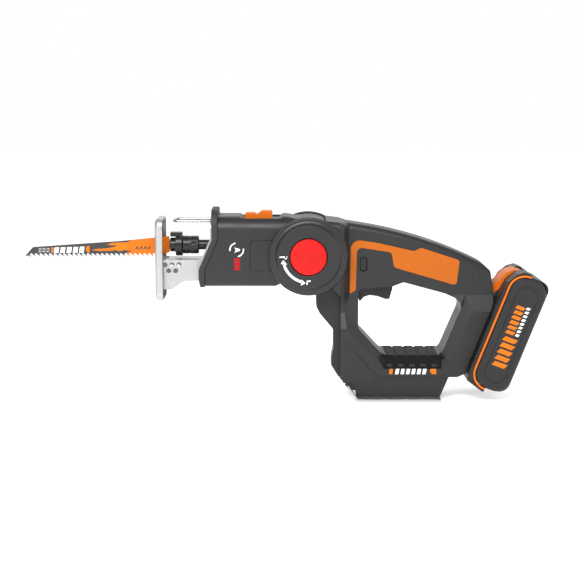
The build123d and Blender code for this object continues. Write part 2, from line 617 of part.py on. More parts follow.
SHAFT_R = 2.5
with BuildPart() as motor_can:
    rod_y(PIVOT, 18.5, -21, 5.5)
    rod_y(PIVOT, 17, -21, 4, Mode.SUBTRACT)
    rod_y(PIVOT, 5, 4, 5.5, Mode.SUBTRACT)
    for vent in range(4):
        vent_angle = radians(45 + 90 * vent)
        rod_y((PIVOT_X + 11 * cos(vent_angle), PIVOT_Z + 11 * sin(vent_angle)), 2.4, 4, 5.5,
              Mode.SUBTRACT)
save(motor_can, "motor_can")

with BuildPart() as motor_end_cap:
    turned([(0, -25.6), (8, -25.6), (8, -23.4), (18.5, -23.4), (18.5, -21), (5, -21), (5, -24),
            (4.2, -24), (4.2, -24.8), (0, -24.8)])
    for brush_x in [-12.0, 12.0]:
        block((PIVOT_X + brush_x - 2, -21, PIVOT_Z - 3), (PIVOT_X + brush_x + 2, -16, PIVOT_Z + 3))
save(motor_end_cap, "motor_end_cap")

with BuildPart() as motor_bearings:
    for bearing_low, bearing_high in [(-24.0, -21.0), (2.5, 5.5)]:
        rod_y(PIVOT, 5, bearing_low, bearing_high)
        rod_y(PIVOT, SHAFT_R + 0.04, bearing_low, bearing_high, Mode.SUBTRACT)
    rod_y(PIVOT, 8.5, 21.5, 24.5)
    rod_y(PIVOT, SHAFT_R + 0.04, 21.5, 24.5, Mode.SUBTRACT)
save(motor_bearings, "motor_bearings")

with BuildPart() as motor_magnets:
    rod_y(PIVOT, 16.8, -15, 0)
    rod_y(PIVOT, 13.6, -15, 0, Mode.SUBTRACT)
    block((PIVOT_X - 4, -16, PIVOT_Z - 20), (PIVOT_X + 4, 1, PIVOT_Z + 20), Mode.SUBTRACT)
save(motor_magnets, "motor_magnets")

with BuildPart() as armature:
    rod_y(PIVOT, 13, -14, -1)
    for tooth in range(5):
        slot_angle = radians(90 + 72 * tooth)
        rod_y((PIVOT_X + 10.2 * cos(slot_angle), PIVOT_Z + 10.2 * sin(slot_angle)), 2.6, -14, -1,
              Mode.SUBTRACT)
        block_x, block_z = PIVOT_X + 12.4 * cos(slot_angle), PIVOT_Z + 12.4 * sin(slot_angle)
        rod_y((block_x, block_z), 1.0, -14, -1, Mode.SUBTRACT)
    rod_y(PIVOT, 5.5, -20.4, -14)
    rod_y(PIVOT, SHAFT_R, -20.4, -1, Mode.SUBTRACT)
save(armature, "armature")

with BuildPart() as armature_windings:
    turned([(5.6, -15.8), (10.5, -15.4), (11.2, -14), (5.6, -14)])
    turned([(3.2, -1), (11.2, -1), (10.5, 0.8), (3.2, 1.4)])
save(armature_windings, "armature_windings")

with BuildPart() as motor_shaft:
    rod_y(PIVOT, SHAFT_R, -23.9, 24.2)
save(motor_shaft, "motor_shaft")

# ---- gears: involute teeth with the flanks drawn from the base circle ------------------------------
PRESSURE = radians(20)
BACKLASH = 0.08


def gear_outline(centre, teeth, first_angle):
    """Closed outline of a spur gear, one tooth centred at first_angle."""
    pitch_r = MODULE * teeth / 2
    base_r, tip_r, root_r = pitch_r * cos(PRESSURE), pitch_r + 0.75 * MODULE, pitch_r - 1.2 * MODULE
    half_base = pi / (2 * teeth) - BACKLASH / pitch_r + tan(PRESSURE) - PRESSURE
    start_r = max(base_r, root_r)
    flank = []
    for step in range(5):
        radius = start_r + (tip_r - start_r) * step / 4
        roll = acos(base_r / radius)
        flank.append((radius, half_base - tan(roll) + roll))
    points = []
    for tooth in range(teeth):
        middle = first_angle + 2 * pi * tooth / teeth
        rising = [(root_r, half_base)] if root_r < base_r else []
        side = rising + flank
        for radius, half in side:
            points.append((radius, middle - half))
        for radius, half in reversed(side):
            points.append((radius, middle + half))
    return [(centre[0] + r * cos(a), centre[1] + r * sin(a)) for r, a in points]


MESH_ANGLE = atan2(PIVOT_Z - GEAR_Z, PIVOT_X - GEAR_X)

with BuildPart() as motor_pinion:
    slab(gear_outline(PIVOT, PINION_TEETH, MESH_ANGLE + pi + pi / PINION_TEETH), 14, 20)
    rod_y(PIVOT, SHAFT_R, 14, 20, Mode.SUBTRACT)
save(motor_pinion, "motor_pinion")

CRANK_PIN_R = 2.0
with BuildPart() as crank_gear:
    slab(gear_outline(GEAR, GEAR_TEETH, MESH_ANGLE), 14.5, 19.5)
    rod_y(GEAR, 4, 14.5, 24.2)
    rod_y((YOKE_X, AXIS_Z), CRANK_PIN_R, 14.5, 18, Mode.SUBTRACT)
    for hole in range(3):
        hole_angle = radians(45 * (hole - 1))
        rod_y((GEAR_X + 12.5 * cos(hole_angle), GEAR_Z + 12.5 * sin(hole_angle)), 3.4, 14.5, 19.5,
              Mode.SUBTRACT)
save(crank_gear, "crank_gear")

with BuildPart() as crank_pin:
    rod_y((YOKE_X, AXIS_Z), CRANK_PIN_R, 12.1, 18)
save(crank_pin, "crank_pin")

with BuildPart() as crank_bearing:
    rod_y(GEAR, 8, 21, 24.5)
    rod_y(GEAR, 4.04, 21, 24.5, Mode.SUBTRACT)
save(crank_bearing, "crank_bearing")

SLIDER_SIDE = [
    (-151.8, 178.6), (-151.3, 183.2), (-149.6, 184.1), (-142.4, 184.1), (-139.5, 182.4),
    (-134.6, 186.1), (-125.6, 186.1), (-124.6, 185.1), (-124.2, 178.6),
]
with BuildPart() as orbit_slider:
    slab(SLIDER_SIDE, -8, 8, radius=0.6)
    block((-143, -2.7, 172), (-137, 2.7, 179))
save(orbit_slider, "orbit_slider")

BUTTON_FACE, RELIEF_FACE = -40.9, -41.2
LOCK_BODY = [(-95.0, 139.6), (-86.8, 139.6), (-86.8, 148.0), (-95.0, 148.0)]
with BuildPart() as pivot_button:
    turned([(0, BUTTON_FACE), (14, BUTTON_FACE), (17, -40.4), (17.5, -39.8), (17.5, -36),
            (6, -36), (6, -30.5), (0, -30.5)])
    groove(LOCK_BODY, RELIEF_FACE, BUTTON_FACE, 0.9, radius=1.4, mode=Mode.ADD)
    slab([(-93.0, 143.2), (-90.6, 143.2), (-90.6, 144.8), (-93.0, 144.8)],
         RELIEF_FACE, BUTTON_FACE)
    slab([(-101.4, 143.8), (-97.8, 141.5), (-97.8, 146.1)], RELIEF_FACE, BUTTON_FACE)
    with BuildSketch(Plane.XZ.offset(-BUTTON_FACE)) as shackle:
        with Locations((-84.6, 143.8)):
            Circle(3.6)
            Circle(2.6, mode=Mode.SUBTRACT)
        with Locations((-89.6, 143.8)):
            Rectangle(7, 8, mode=Mode.SUBTRACT)
    extrude(to_extrude=shackle.sketch, amount=BUTTON_FACE - RELIEF_FACE)
save(pivot_button, "pivot_button")

with BuildPart() as pivot_spring:
    coil((PIVOT_X, -35.4, PIVOT_Z), (0, 1, 0), 5.6, 2.5, 9, 0.5)
save(pivot_spring, "pivot_spring")

with BuildPart() as pivot_cap:
    turned([(0, HEAD_HALF), (10, HEAD_HALF), (10, 34), (17.9, 34), (17.9, 38.9), (17.2, 39.6),
            (0, 39.6)])
save(pivot_cap, "pivot_cap")

# ---- plunger, blade clamp and blade -----------------------------------------------------------------
with BuildPart() as plunger:
    rod_x(0, AXIS_Z, PLUNGER_R, -206, -131)
    block((-141, -3, 146.4), (-129.5, 11.8, 157.6))
    block((YOKE_X - 4.6, 6.8, AXIS_Z - 12.6), (YOKE_X + 4.6, 11.8, AXIS_Z + 12.6))
    block((YOKE_X - 2.2, 6, AXIS_Z - 11.4), (YOKE_X + 2.2, 13, AXIS_Z + 11.4), Mode.SUBTRACT)
save(plunger, "plunger")

CLAMP_PIN = (-216.0, AXIS_Z)
with BuildPart() as clamp_body:
    lathe_x([(-226, 0), (-226, 6.2), (-225.2, 7), (-213.2, 7), (-213.2, 8.4), (-212.6, 9),
             (-207, 9), (-206.4, 8.4), (-205.8, 9), (-198.3, 9), (-197.5, 8.2), (-197.5, 0)])
    rod_x(0, AXIS_Z, PLUNGER_R, -206, -197, Mode.SUBTRACT)
    block((-228, -0.65, AXIS_Z - 4.2), (-208.5, 0.65, AXIS_Z + 4.2), Mode.SUBTRACT)
    rod_y(CLAMP_PIN, 1.5, -9, 9, Mode.SUBTRACT)
    for pocket_low, pocket_high in [(-10.0, -7.4), (7.4, 10.0)]:
        block((-204.8, pocket_low, 153), (-199.4, pocket_high, 158), Mode.SUBTRACT)
        block((-204.8, pocket_low, 146), (-201.4, pocket_high, 150.4), Mode.SUBTRACT)
save(clamp_body, "clamp_body")

with BuildPart() as clamp_pin:
    rod_y(CLAMP_PIN, 1.5, -6.6, 6.6)
save(clamp_pin, "clamp_pin")

with BuildPart() as clamp_collar:
    lathe_x([(-220.4, 7.05), (-220.4, 10.4), (-219.8, 11), (-214.1, 11), (-213.5, 10.4),
             (-213.5, 7.05)])
    block((-225.6, -5, 160.4), (-213.8, 5, 164.6))
    lathe_x([(-230, 0), (-230, 7.05), (-210, 7.05), (-210, 0)], Mode.SUBTRACT)
save(clamp_collar, "clamp_collar")

BLADE_HALF, TOOTH_PITCH, TOOTH_COUNT = 0.62, 4.7, 29
BLADE_OUTLINE = [
    (-370.9, 140.6), (-362.7, 149.5), (-276, 155.5), (-246.2, 158.5), (-227, 160.4),
    (-226.6, 156), (-209, 156), (-209, 148), (-226.6, 148), (-226.6, 144.5), (-231.5, 143),
]
for tooth in range(TOOTH_COUNT):
    tooth_x = -233.5 - TOOTH_PITCH * tooth
    BLADE_OUTLINE += [(tooth_x + 0.9, 143.2), (tooth_x - 0.9, 142.9), (tooth_x + 0.2, 139.6)]

with BuildPart() as saw_blade:
    slab(BLADE_OUTLINE, -BLADE_HALF, BLADE_HALF)
    rod_y(CLAMP_PIN, 1.55, -2, 2, Mode.SUBTRACT)
save(saw_blade, "saw_blade")

# ---- shoe --------------------------------------------------------------------------------------------
SHOE_BACK = -232.0
INNER_FACE = SHOE_FACE + STEEL_T
SHOE_MIDDLE, SHOE_TALL = (SHOE_LOW + SHOE_HIGH) / 2, SHOE_HIGH - SHOE_LOW
with BuildPart() as shoe_plate:
    with BuildSketch(Plane.YZ.offset(SHOE_FACE)):
        with Locations((0, SHOE_MIDDLE)):
            RectangleRounded(2 * SHOE_HALF, SHOE_TALL, 9)
    extrude(amount=SHOE_BACK - SHOE_FACE)
    fillet(shoe_plate.faces().sort_by(Axis.X)[0].edges(), radius=4)
    with BuildSketch(Plane.YZ.offset(INNER_FACE + 2.4)):
        with Locations((0, SHOE_MIDDLE)):
            RectangleRounded(2 * (SHOE_HALF - STEEL_T), SHOE_TALL - 2 * STEEL_T, 7.2)
    extrude(amount=20, mode=Mode.SUBTRACT)
    with BuildSketch(Plane.YZ.offset(INNER_FACE)):
        with Locations((0, SHOE_MIDDLE)):
            RectangleRounded(2 * (SHOE_HALF - STEEL_T) - 4, SHOE_TALL - 2 * STEEL_T - 4, 5.5)
    extrude(amount=5, mode=Mode.SUBTRACT)
    block((-245, -5, 128), (-236, 5, 172), Mode.SUBTRACT)
    with Locations((SHOE_FACE, 0, 108)):
        Box(8, 6, 5, mode=Mode.SUBTRACT)
save(shoe_plate, "shoe_plate")

BRACKET_SIDE = [
    (INNER_FACE, 138.7), (-160, 138.7), (-160, 118.3), (-211.4, 117.8), (-217.4, 113.9),
    (-223.3, 109.4), (INNER_FACE, 108.9),
]
BRACKET_RADII = [0.4, 1, 1, 7, 2, 6, 0.4]
BRACKET_HOLES = [(-230.1, 133.7), (-223.4, 133.7), (-216.4, 133.7), (-226.6, 127.8), (-219.7, 127.8)]
with BuildPart() as shoe_bracket:
    slab(BRACKET_SIDE, -FLANGE_OUT, FLANGE_OUT, radius=BRACKET_RADII)
    slab(BRACKET_SIDE, -FLANGE_IN, FLANGE_IN, Mode.SUBTRACT, radius=BRACKET_RADII)
    block((-228, -FLANGE_IN, 137.2), (-160, FLANGE_IN, 138.7))
    for foot_low, foot_high in [(-19.1, -FLANGE_IN), (FLANGE_IN, 19.1)]:
        block((INNER_FACE, foot_low, 109), (INNER_FACE + 1.4, foot_high, 138.7))
    for spot in BRACKET_HOLES:
        rod_y(spot, 2.25, -20, 20, Mode.SUBTRACT)
save(shoe_bracket, "shoe_bracket")

with BuildPart() as shoe_rivets:
    for rivet_y in [-17.6, 17.6]:
        for rivet_z in [115.0, 132.0]:
            rod_x(rivet_y, rivet_z, 1.5, INNER_FACE + 1.4, INNER_FACE + 2.6)
save(shoe_rivets, "shoe_rivets")

# ---- battery pack, in its own frame: out from the tool, up along the pack ------------------------------
CORE_SIDE = [(-17.6, -56.6), (20.2, -56.6), (20.2, 60.4), (-17.6, 60.4)]
PACK_SIDE_OUTLINE = [(-17.6, -57), (19.5, -57), (19.5, 59.5), (-17.6, 59.5)]
HOLLOW_SIDE = [(-30, -54.8), (18.5, -54.8), (18.5, 58.6), (-30, 58.6)]
HOLLOW_RADII = [0.5, 10, 8, 0.5]
LATCH_POCKET = [
    (-40, 29.4), (-23.4, 29.4), (-20.4, 33.4), (-16, 44.4), (-11.8, 52.8), (-4.8, 57.2),
    (-4.8, 70), (-40, 70),
]

with BuildPart() as pack_blank:
    slab(PACK_SIDE_OUTLINE, -PACK_HALF, PACK_HALF, radius=15, base=PACK_SIDE)
    chamfer(pack_blank.faces().sort_by(Axis.Y)[0].edges(), length=1.6)
    chamfer(pack_blank.faces().sort_by(Axis.Y)[-1].edges(), length=1.6)
    slab(CORE_SIDE, -33, 33, radius=[15, 11, 9, 15], base=PACK_SIDE)

LABEL_PANEL = [(-9.5, -49), (12.5, -49), (12.5, 51), (-9.5, 51)]
with BuildPart() as battery_outer_shell:
    add(pack_blank.part)
    groove(LABEL_PANEL, PACK_HALF - 0.5, 40, 0.5, radius=10.5, base=PACK_SIDE)
    groove(LABEL_PANEL, -40, -PACK_HALF + 0.5, 0.5, radius=10.5, base=PACK_SIDE)
    slab(HOLLOW_SIDE, -35.6, 35.6, Mode.SUBTRACT, HOLLOW_RADII, PACK_SIDE)
    slab(LATCH_POCKET, -13.3, 13.3, Mode.SUBTRACT, base=PACK_SIDE)
save(battery_outer_shell, "battery_outer_shell")

TRIM_OUTER = [(-19.4, -58.8), (30, -58.8), (30, 61.3), (-19.4, 61.3)]
with BuildPart() as trim_blank:
    slab(TRIM_OUTER, -38.2, 38.2, radius=16.8, base=PACK_SIDE)
    along_pack(-2, 60, 0, 60, -80, 80, Mode.SUBTRACT)

with BuildPart() as battery_trim:
    add(trim_blank.part)
    slab(PACK_SIDE_OUTLINE, -50, 50, Mode.SUBTRACT, radius=15, base=PACK_SIDE)
    add(pack_blank.part, mode=Mode.SUBTRACT)
    slab(HOLLOW_SIDE, -35.6, 35.6, Mode.SUBTRACT, HOLLOW_RADII, PACK_SIDE)
    slab(LATCH_POCKET, -13.3, 13.3, Mode.SUBTRACT, base=PACK_SIDE)
save(battery_trim, "battery_trim")

INNER_OUTLINE = [
    (-22.4, -50), (-21, -56.5), (-4, -61.3), (-2, -61.3), (-2, 63.2), (-9, 63.2), (-15.5, 58.5),
    (-21, 48.5), (-22.4, 38),
]
with BuildPart() as battery_inner_shell:
    slab(INNER_OUTLINE, -36.5, 36.5, base=PACK_SIDE)
    add(trim_blank.part, mode=Mode.SUBTRACT)
    add(pack_blank.part, mode=Mode.SUBTRACT)
    along_pack(-26.6, -19.8, 0, 11.2, -47, 21)
    along_pack(-31, -26.6, 0, 14.7, -47, 21)
    for contact_y in CONTACT_Y:
        with Locations(PACK_ACROSS.offset(-41.5).location * Pos(-27, contact_y, 0)):
            Box(9.6, 3.2, 17, mode=Mode.SUBTRACT)
    slab(LATCH_POCKET, -13.3, 13.3, Mode.SUBTRACT, base=PACK_SIDE)
save(battery_inner_shell, "battery_inner_shell")

with BuildPart() as battery_contacts:
    for contact_y in CONTACT_Y:
        for clip_y in [contact_y - 1.2, contact_y + 1.2]:
            with Locations(PACK_ACROSS.offset(-40).location * Pos(-26.6, clip_y, 0)):
                Box(7.6, 0.8, 12)
        with Locations(PACK_ACROSS.offset(-40).location * Pos(-23.0, contact_y, 0)):
            Box(1.0, 3.2, 12)
save(battery_contacts, "battery_contacts")

CELL_R, CELL_PITCH = 9.1, 19.6
with BuildPart() as battery_cells:
    for cell in range(5):
        with BuildSketch(PACK_SIDE.offset(-32.5)) as cell_end:
            with Locations((-1.0 if cell % 2 else 3.0, -38.2 + CELL_PITCH * cell)):
                Circle(CELL_R)
        extrude(to_extrude=cell_end.sketch, amount=65)
save(battery_cells, "battery_cells")

with BuildPart() as cell_holder:
    for plate_low, plate_high in [(-26.0, -22.0), (22.0, 26.0)]:
        slab([(-12, -51), (15, -51), (15, 53.5), (-12, 53.5)], plate_low, plate_high, base=PACK_SIDE)
    add(battery_cells.part, mode=Mode.SUBTRACT)
save(cell_holder, "cell_holder")

LATCH_SIDE = [
    (-30, 36.5), (-21.8, 55), (-15.6, 60.4), (-7.5, 61.6), (-7.5, 59), (-14.5, 54.5),
    (-18.8, 46), (-23.2, 35.2), (-26.1, 31.4), (-29.6, 32.2),
]
with BuildPart() as battery_latch:
    slab(LATCH_SIDE, -13, 13, base=PACK_SIDE)
save(battery_latch, "battery_latch")
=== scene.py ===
import json
import math

import bmesh
import bpy
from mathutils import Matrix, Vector


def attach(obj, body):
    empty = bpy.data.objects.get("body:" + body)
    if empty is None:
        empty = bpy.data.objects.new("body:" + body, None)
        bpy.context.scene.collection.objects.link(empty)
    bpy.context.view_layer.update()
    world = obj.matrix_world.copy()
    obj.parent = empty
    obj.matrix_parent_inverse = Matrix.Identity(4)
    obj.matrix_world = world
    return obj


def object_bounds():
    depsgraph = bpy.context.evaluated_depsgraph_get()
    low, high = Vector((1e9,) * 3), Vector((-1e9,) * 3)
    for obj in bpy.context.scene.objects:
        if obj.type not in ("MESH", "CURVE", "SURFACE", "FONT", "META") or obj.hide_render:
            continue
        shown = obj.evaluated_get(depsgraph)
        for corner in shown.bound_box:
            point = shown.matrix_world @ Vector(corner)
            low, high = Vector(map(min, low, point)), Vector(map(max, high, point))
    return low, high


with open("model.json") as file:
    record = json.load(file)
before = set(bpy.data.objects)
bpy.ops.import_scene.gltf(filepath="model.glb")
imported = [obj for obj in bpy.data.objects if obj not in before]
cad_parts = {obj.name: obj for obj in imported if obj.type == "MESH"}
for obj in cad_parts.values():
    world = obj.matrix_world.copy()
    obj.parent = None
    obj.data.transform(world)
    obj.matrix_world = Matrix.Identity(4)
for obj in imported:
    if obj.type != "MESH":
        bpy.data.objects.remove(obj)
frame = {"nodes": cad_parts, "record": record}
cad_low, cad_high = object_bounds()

MM = 0.001
SIDES = {"left": -1, "right": 1}     # which way each side's faces point along Y
SHARP = math.radians(28)             # edges bent more than this stay crisp

# surfaces that prints and raised details lie on, in mm from the centre plane
COVER_FACE = 40.0
BAND_FACE = 24.0
BLOCK_FACE = 22.8
GRIP_FACE = 18.0
PAD_WINDOW_FACE = 23.4
BLADE_FACE = 0.62
PACK_FACE = 38.0
BUTTON_SYMBOL_Y = -0.04105           # the symbol on the release button stands past this, in m
SINK = 0.15                          # how far a print reaches into the surface under it, in mm


# ---- node helpers -----------------------------------------------------------------------------
class Graph:
    """Short names for the nodes of one material."""

    def __init__(self, name):
        self.material = bpy.data.materials.new(name)
        self.material.use_nodes = True
        self.tree = self.material.node_tree
        self.tree.nodes.clear()
        self.bsdf = self.add("ShaderNodeBsdfPrincipled")
        output = self.add("ShaderNodeOutputMaterial")
        self.link(self.bsdf.outputs[0], output.inputs[0])
        self.position = self.add("ShaderNodeTexCoord").outputs["Object"]

    def add(self, kind, **values):
        """New node with some of its settings."""
        node = self.tree.nodes.new(kind)
        for key, value in values.items():
            setattr(node, key, value)
        return node

    def link(self, source, target):
        """Feed a socket from another socket or with a plain value."""
        if hasattr(source, "is_output") or hasattr(source, "links"):
            self.tree.links.new(source, target)
        else:
            target.default_value = source

    def noise(self, scale, detail=4.0, rough=0.55, where=None):
        node = self.add("ShaderNodeTexNoise")
        self.link(where or self.position, node.inputs["Vector"])
        node.inputs["Scale"].default_value = scale
        node.inputs["Detail"].default_value = detail
        node.inputs["Roughness"].default_value = rough
        return node.outputs["Fac"]

    def math(self, operation, a, b=0.0, c=0.0):
        node = self.add("ShaderNodeMath", operation=operation)
        for value, socket in zip((a, b, c), node.inputs):
            self.link(value, socket)
        return node.outputs[0]

    def span(self, value, low, high, out_low=0.0, out_high=1.0):
        node = self.add("ShaderNodeMapRange")
        for item, key in (
            (value, "Value"), (low, "From Min"), (high, "From Max"),
            (out_low, "To Min"), (out_high, "To Max"),
        ):
            self.link(item, node.inputs[key])
        return node.outputs[0]

    def mix(self, amount, first, second):
        node = self.add("ShaderNodeMix", data_type="RGBA")
        for item, socket in ((amount, node.inputs[0]), (first, node.inputs[6]),
                             (second, node.inputs[7])):
            if isinstance(item, (tuple, list)):
                item = tuple(item) + (1.0,) * (4 - len(item))
            self.link(item, socket)
        return node.outputs[2]

    def stretch(self, factors):
        node = self.add("ShaderNodeMapping")
        self.link(self.position, node.inputs["Vector"])
        node.inputs["Scale"].default_value = factors
        return node.outputs[0]

    def axes(self):
        node = self.add("ShaderNodeSeparateXYZ")
        self.link(self.position, node.inputs[0])
        return node.outputs


def finish_of(name, base, rough, metallic=0.0, vary=0.12, grain=1500.0, bump=0.2, edge=0.0,
              edge_color=None, round_edges=0.0006, brushed=None, paint=None, height=None,
              specular=0.5):
    """Material with uneven colour and gloss, fine grain, rounded edges and tinted edges: wear on
    most parts, painted dark edge shade on the shoe.

    vary is the spread of the colour, grain and bump the fine relief, and brushed stretches it.
    edge and edge_color tint the rounded edges. paint and height are functions that add a pattern
    to the colour and to the relief."""
    g = Graph(name)
    dark = tuple(c * (1 - vary) for c in base)
    light = tuple(min(1.0, c * (1 + vary)) for c in base)
    color = g.mix(g.noise(28.0, 5.0), dark, light)
    if paint:
        color = paint(g, color)
    soft = g.add("ShaderNodeBevel", samples=4)
    soft.inputs["Radius"].default_value = round_edges
    # edge tint: wear on most parts, painted shade along the edges where edge_color is dark (the
    # shoe)
    if edge:
        true_normal = g.add("ShaderNodeNewGeometry").outputs["Normal"]
        dot = g.add("ShaderNodeVectorMath", operation="DOT_PRODUCT")
        g.link(soft.outputs[0], dot.inputs[0])
        g.link(true_normal, dot.inputs[1])
        bend = g.span(dot.outputs["Value"], 0.999, 0.93)
        wear_and_edge_shade = g.math("MULTIPLY", bend, g.span(g.noise(160.0, 6.0, 0.7), 0.42, 0.62))
        wear_and_edge_shade = g.math("MULTIPLY", wear_and_edge_shade, edge)
        color = g.mix(wear_and_edge_shade, color, edge_color or tuple(min(1.0, c * 1.9 + 0.03) for c in base))
    g.link(color, g.bsdf.inputs["Base Color"])
    smudge = g.span(g.noise(45.0, 6.0, 0.65), 0.3, 0.7, rough * 0.86, min(1.0, rough * 1.14))
    g.link(smudge, g.bsdf.inputs["Roughness"])
    fine_place = g.stretch(brushed) if brushed else g.position
    fine = g.noise(grain, 2.0, 0.5, fine_place)
    if height:
        fine = height(g, fine)
    relief = g.add("ShaderNodeBump")
    relief.inputs["Strength"].default_value = bump
    relief.inputs["Distance"].default_value = 0.0004
    g.link(fine, relief.inputs["Height"])
    g.link(soft.outputs[0], relief.inputs["Normal"])
    g.link(relief.outputs[0], g.bsdf.inputs["Normal"])
    g.bsdf.inputs["Metallic"].default_value = metallic
    g.bsdf.inputs["Specular IOR Level"].default_value = specular
    return g.material


# ---- patterns painted by place ------------------------------------------------------------------
BLADE_CHANGE_X = -0.2703             # the blade is orange behind this
TOOTH_TOP, TOOTH_TIP = 0.1421, 0.1399
WEAVE_PITCH, RIB_PITCH = 0.0016, 0.0042
RIBS_FRONT, RIBS_REAR = -0.006, 0.053
ORANGE = (0.64, 0.150, 0.004)
DEEP_ORANGE = (0.58, 0.126, 0.003)
DARK_RED = (0.30, 0.003, 0.003)
DULL_STEEL, BRIGHT_STEEL = (0.30, 0.30, 0.31), (0.52, 0.52, 0.53)


def blade_paint(g, color):
    """Dark front, orange shank and bright ground teeth."""
    axes = g.axes()
    wobble = g.math("MULTIPLY_ADD", g.noise(220.0), 0.0012, -0.0006)
    behind = g.math("GREATER_THAN", g.math("ADD", axes[0], wobble), BLADE_CHANGE_X)
    color = g.mix(behind, color, g.mix(g.noise(60.0), DEEP_ORANGE, ORANGE))
    tips = g.span(axes[2], TOOTH_TOP, TOOTH_TIP)
    steel = g.mix(g.noise(900.0), DULL_STEEL, BRIGHT_STEEL)
    return g.mix(g.math("MULTIPLY", tips, 0.75), color, steel)


def button_paint(g, color):
    """Darker raised symbol on the release button."""
    raised = g.math("LESS_THAN", g.axes()[1], BUTTON_SYMBOL_Y)
    return g.mix(g.math("MULTIPLY", raised, 0.8), color, DARK_RED)


def weave_height(g, fine):
    """Fine diagonal ribs."""
    axes = g.axes()
    slant = g.math("ADD", axes[2], g.math("MULTIPLY", axes[0], -0.35))
    rib = g.math("SINE", g.math("MULTIPLY", slant, 2 * math.pi / WEAVE_PITCH))
    return g.math("ADD", g.math("MULTIPLY", rib, 0.35), fine)


def rib_height(g, fine):
    """Pattern of short slanted grips moulded into the soft inlay."""
    axes = g.axes()
    slant = g.math("ADD", g.math("MULTIPLY", axes[0], 0.8), g.math("MULTIPLY", axes[2], 0.6))
    bars = g.math("SINE", g.math("MULTIPLY", slant, 2 * math.pi / RIB_PITCH))
    inside = g.math("MULTIPLY", g.math("GREATER_THAN", axes[0], RIBS_FRONT),
                    g.math("LESS_THAN", axes[0], RIBS_REAR))
    bars = g.math("MULTIPLY", g.span(bars, 0.1, 0.6), inside)
    return g.math("ADD", g.math("MULTIPLY", bars, 1.1), g.math("MULTIPLY", fine, 0.5))


def charcoal(name, base, rough):
    """Finish of the tool's dark mouldings."""
    return finish_of(name, base, rough, vary=0.10, grain=1900.0, bump=0.16, edge=0.35,
                     specular=0.36)


STEEL = dict(metallic=0.9, vary=0.08, bump=0.06, edge=0.4, edge_color=(0.8, 0.8, 0.8))
GREY = (0.0152, 0.0152, 0.0157)
MATERIALS = {                        # by material slot
    "charcoal_plastic": charcoal("charcoal_plastic", GREY, 0.42),
    "cover_plastic": charcoal("cover_plastic", (0.0158, 0.0158, 0.0163), 0.38),
    "pack_plastic": charcoal("pack_plastic", (0.0125, 0.0125, 0.0132), 0.42),
    "collar_rubber": finish_of("collar_rubber", (0.021, 0.021, 0.022), 0.58, bump=0.25,
                               grain=1300.0, specular=0.35),
    "grip_rubber": finish_of("grip_rubber", (0.006, 0.006, 0.0063), 0.62, bump=0.3,
                             grain=1200.0, specular=0.12),
    "black_plastic": charcoal("black_plastic", (0.010, 0.010, 0.0105), 0.4),
    "orange_grip": finish_of("orange_grip", (0.42, 0.098, 0.003), 0.5, specular=0.22, vary=0.05,
                             grain=1400.0, bump=0.3, height=rib_height, edge=0.2,
                             edge_color=(1.0, 0.45, 0.12)),
    "orange_trim": finish_of("orange_trim", (0.62, 0.128, 0.002), 0.4, specular=0.25, vary=0.05,
                             grain=1600.0, bump=0.22, height=weave_height, edge=0.2,
                             edge_color=(1.0, 0.5, 0.15)),
    "red_plastic": finish_of("red_plastic", (0.60, 0.006, 0.005), 0.42, vary=0.04, bump=0.06,
                             paint=button_paint, specular=0.2, edge=0.2,
                             edge_color=(1.0, 0.2, 0.15)),
    # the dark edge_color paints shade and dark outlines along the shoe's edges
    "shoe_steel": finish_of("shoe_steel", (0.46, 0.46, 0.46), 0.36, grain=900.0,
                            brushed=(1.0, 1.0, 0.06), metallic=0.9, vary=0.1, bump=0.08,
                            edge=0.9, edge_color=(0.10, 0.10, 0.10), round_edges=0.0011),
    "sole_steel": finish_of("sole_steel", (0.46, 0.46, 0.47), 0.36, grain=1000.0,
                            brushed=(0.06, 1.0, 1.0), **STEEL),
    "machined_steel": finish_of("machined_steel", (0.40, 0.41, 0.42), 0.3, grain=1400.0,
                                brushed=(1.0, 1.0, 0.2), **STEEL),
    "gear_steel": finish_of("gear_steel", (0.42, 0.42, 0.44), 0.36, grain=1200.0, **STEEL),
    "zinc_screw": finish_of("zinc_screw", (0.3, 0.3, 0.31), 0.4, grain=1200.0, **STEEL),
    "cast_alloy": finish_of("cast_alloy", (0.42, 0.42, 0.43), 0.5, grain=700.0, **STEEL),
    "clamp_black": finish_of("clamp_black", (0.010, 0.010, 0.0105), 0.3, metallic=0.3,
                             vary=0.2, bump=0.12, edge=0.7, edge_color=(0.3, 0.3, 0.31)),
    "blade_steel": finish_of("blade_steel", (0.045, 0.045, 0.047), 0.42, vary=0.1, grain=900.0,
                             brushed=(0.05, 1.0, 1.0), bump=0.1, paint=blade_paint, edge=0.3,
                             edge_color=(0.5, 0.5, 0.5), round_edges=0.0002, specular=0.2),
    "copper": finish_of("copper", (0.72, 0.33, 0.14), 0.32, metallic=1.0, grain=1500.0),
    "bronze": finish_of("bronze", (0.6, 0.4, 0.18), 0.42, metallic=1.0, grain=1500.0),
    "motor_black": finish_of("motor_black", (0.03, 0.03, 0.032), 0.38, metallic=0.4),
    "magnet_grey": finish_of("magnet_grey", (0.09, 0.09, 0.095), 0.6, grain=900.0),
    "board_green": finish_of("board_green", (0.02, 0.16, 0.06), 0.4, grain=600.0),
    "cell_wrap": finish_of("cell_wrap", (0.05, 0.16, 0.42), 0.28, vary=0.08, bump=0.05),
    "lead_red": finish_of("lead_red", (0.45, 0.02, 0.02), 0.4, bump=0.08),
}
WHITE_INK = finish_of("white_ink", (0.88, 0.88, 0.86), 0.5, vary=0.04, bump=0.08)
RED_INK = finish_of("red_ink", (0.32, 0.004, 0.005), 0.5, specular=0.2, vary=0.06, bump=0.08)
ORANGE_INK = finish_of("orange_ink", ORANGE, 0.45, specular=0.2, vary=0.05, bump=0.08)
DARK_INK = finish_of("dark_ink", (0.045, 0.045, 0.047), 0.45, vary=0.1, bump=0.08)
